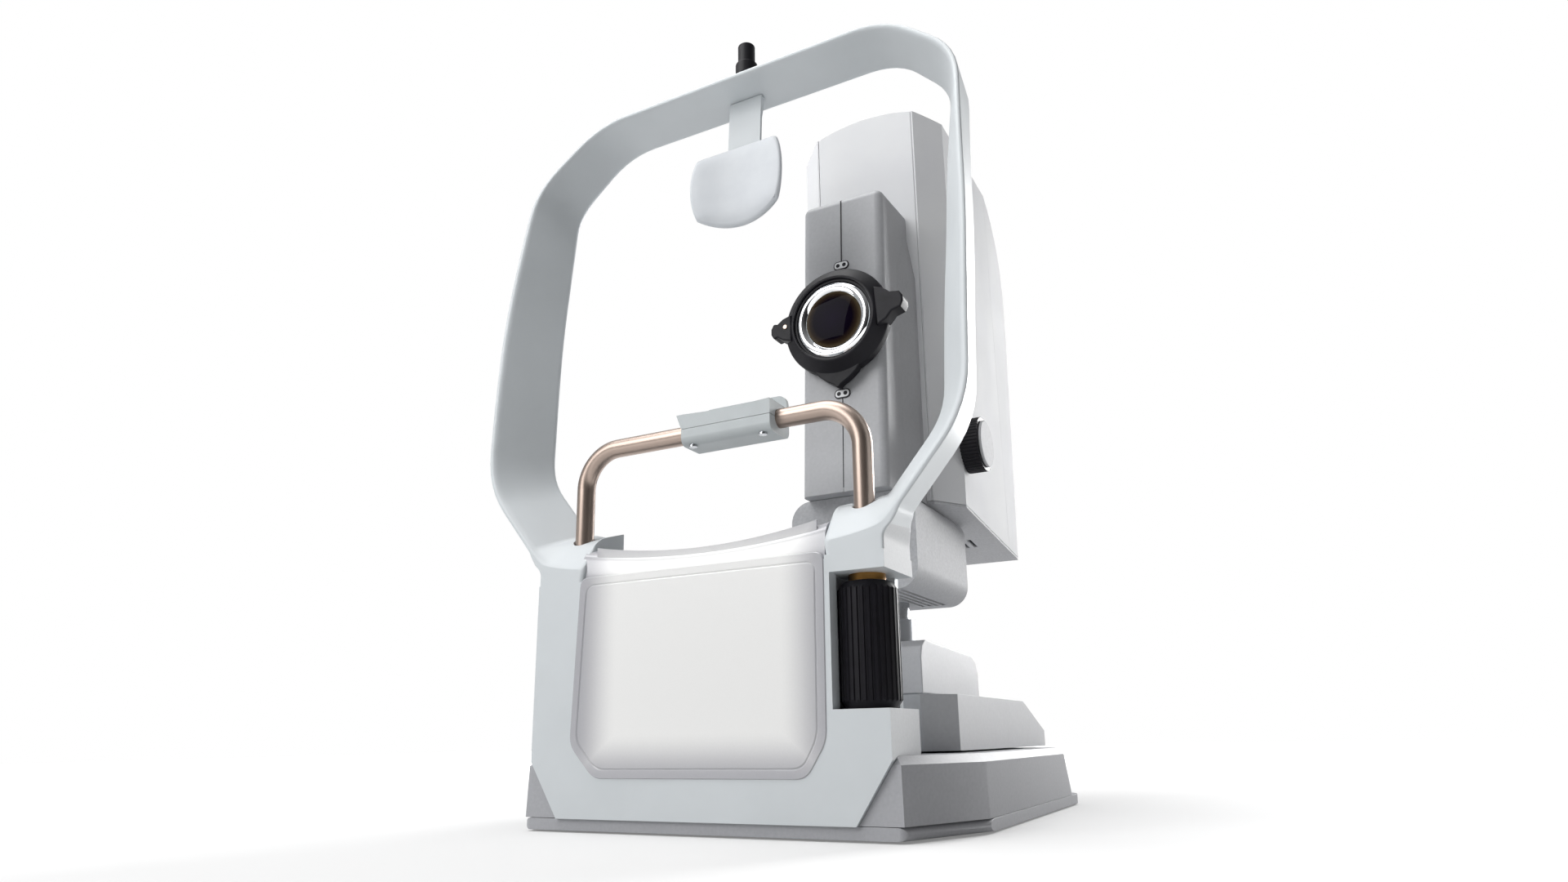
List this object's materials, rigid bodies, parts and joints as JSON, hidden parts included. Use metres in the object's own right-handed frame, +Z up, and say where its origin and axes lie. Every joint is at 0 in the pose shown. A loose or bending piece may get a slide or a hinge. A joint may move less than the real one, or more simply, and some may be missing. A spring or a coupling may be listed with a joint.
{
  "type": "tabletop retinal camera",
  "caption": "Tabletop retinal camera on a cross-slide base with joystick, lens ring and focus knob, behind a headrest loop with forehead pad and height-adjustable chin rest.",
  "frame": {"origin": "middle of the base's footprint at the table, at the centre of the four table bolts", "axes": "+Z up, -Y towards the patient, +Y towards the operator, +X to the right as the patient's side is looked at"},
  "size_m": [0.462, 0.488, 0.743],
  "materials": {
    "headrest_paint": "satin",
    "head_plastic": "satin",
    "cover_plastic": "satin",
    "base_paint": "satin",
    "black_plastic": "satin",
    "steel": "brushed",
    "tube_steel": "satin",
    "bronze": "satin",
    "aluminium": "satin",
    "panel_plastic": "gloss",
    "rubber": "matte",
    "mirror": "polished",
    "lens_glass": "polished",
    "screen_glass": "gloss",
    "pad_plastic": "satin",
    "light_plastic": "satin"
  },
  "bodies": {
    "base": {"base_pan": "base_paint", "base_feet": "rubber", "base_cover": "base_paint", "mains_inlet": "black_plastic", "y_rails": "steel", "headrest_body": "headrest_paint", "headrest_loop": "headrest_paint", "headrest_rear_cover": "headrest_paint", "front_panel": "panel_plastic", "panel_backing": "panel_plastic", "panel_clips": "panel_plastic", "leg_bush_left": "bronze", "leg_bush_right": "bronze", "leg_guide": "aluminium", "forehead_strap": "headrest_paint", "forehead_pad": "pad_plastic", "lamp_socket": "black_plastic"},
    "switch": {"power_switch": "black_plastic"},
    "chin_rest": {"chin_tube": "tube_steel", "lead_screw": "steel", "chin_tray": "light_plastic", "chin_clamp": "light_plastic", "clamp_screws": "steel"},
    "chin_knob": {"height_knob": "black_plastic", "knob_nut": "bronze"},
    "y_carriage": {"deck_plate": "aluminium", "deck_cover": "cover_plastic", "y_blocks": "aluminium", "x_rails": "steel"},
    "lock": {"stage_lock": "black_plastic"},
    "x_carriage": {"x_blocks": "aluminium", "stage_plate": "aluminium", "stage_cover": "cover_plastic", "column_tube": "aluminium", "joystick_pod": "cover_plastic"},
    "gimbal": {"gimbal_ring": "steel"},
    "stick": {"joystick": "black_plastic"},
    "stick_ring": {"height_ring": "black_plastic"},
    "button": {"capture_button": "light_plastic"},
    "camera": {"column_ram": "steel", "lower_body": "head_plastic", "front_cover_left": "cover_plastic", "front_cover_right": "cover_plastic", "head_front_plate": "head_plastic", "head_side_left": "head_plastic", "head_side_right": "head_plastic", "head_rear_cover": "head_plastic", "head_bottom_pan": "head_plastic", "optical_bench": "aluminium", "lens_barrel": "black_plastic", "front_lens": "lens_glass", "reflector": "mirror", "sensor_module": "aluminium", "display_frame": "black_plastic", "display_glass": "screen_glass", "mark_plates": "light_plastic"},
    "lens_ring": {"objective_ring": "black_plastic"},
    "focus": {"focus_shaft": "steel", "focus_knob": "black_plastic", "focus_cap": "light_plastic"}
  },
  "joints": [
    {"name": "power_rocker", "type": "hinge", "parent": "base", "child": "switch", "pos_m": [0.074, 0.188, 0.031], "axis": [1, 0, 0], "range_deg": [-8, 8]},
    {"name": "chin_lift", "type": "slide", "parent": "base", "child": "chin_rest", "axis": [0, 0, 1], "range_m": [-0.03, 0.03]},
    {"name": "chin_knob_turn", "type": "hinge", "parent": "base", "child": "chin_knob", "pos_m": [0.1335, -0.196, 0.135], "axis": [0, 0, 1], "range_deg": [-1081, 1081]},
    {"name": "stage_depth", "type": "slide", "parent": "base", "child": "y_carriage", "axis": [0, 1, 0], "range_m": [-0.035, 0.025]},
    {"name": "stage_lock_turn", "type": "hinge", "parent": "y_carriage", "child": "lock", "pos_m": [-0.178, -0.014, 0.081], "axis": [1, 0, 0], "range_deg": [-10, 170]},
    {"name": "stage_across", "type": "slide", "parent": "y_carriage", "child": "x_carriage", "axis": [1, 0, 0], "range_m": [-0.127, 0.003]},
    {"name": "stick_fore_aft", "type": "hinge", "parent": "x_carriage", "child": "gimbal", "pos_m": [-0.02, 0.132, 0.124], "axis": [1, 0, 0], "range_deg": [-10, 10]},
    {"name": "stick_side", "type": "hinge", "parent": "gimbal", "child": "stick", "pos_m": [-0.02, 0.132, 0.124], "axis": [0, 1, 0], "range_deg": [-10, 10]},
    {"name": "height_ring_turn", "type": "hinge", "parent": "stick", "child": "stick_ring", "pos_m": [-0.02, 0.132, 0.177], "axis": [0, 0, 1], "range_deg": [-217, 217]},
    {"name": "capture_press", "type": "slide", "parent": "stick", "child": "button", "axis": [0, 0, 1], "range_m": [-0.002, 0], "stiffness_N_per_m": 400, "springref_m": 0.001},
    {"name": "camera_lift", "type": "slide", "parent": "x_carriage", "child": "camera", "axis": [0, 0, 1], "range_m": [-0.012, 0.012]},
    {"name": "lens_ring_turn", "type": "hinge", "parent": "camera", "child": "lens_ring", "pos_m": [0.062, -0.076, 0.455], "axis": [0, 1, 0], "range_deg": [-20, 20]},
    {"name": "focus_turn", "type": "hinge", "parent": "camera", "child": "focus", "pos_m": [0.062, 0.049, 0.35], "axis": [1, 0, 0], "range_deg": [-180, 180]}
  ],
  "couplings": [
    {"joint": "chin_knob_turn", "follows": "chin_lift", "rad_per_m": 628.32},
    {"joint": "height_ring_turn", "follows": "camera_lift", "rad_per_m": 314.16}
  ]
}
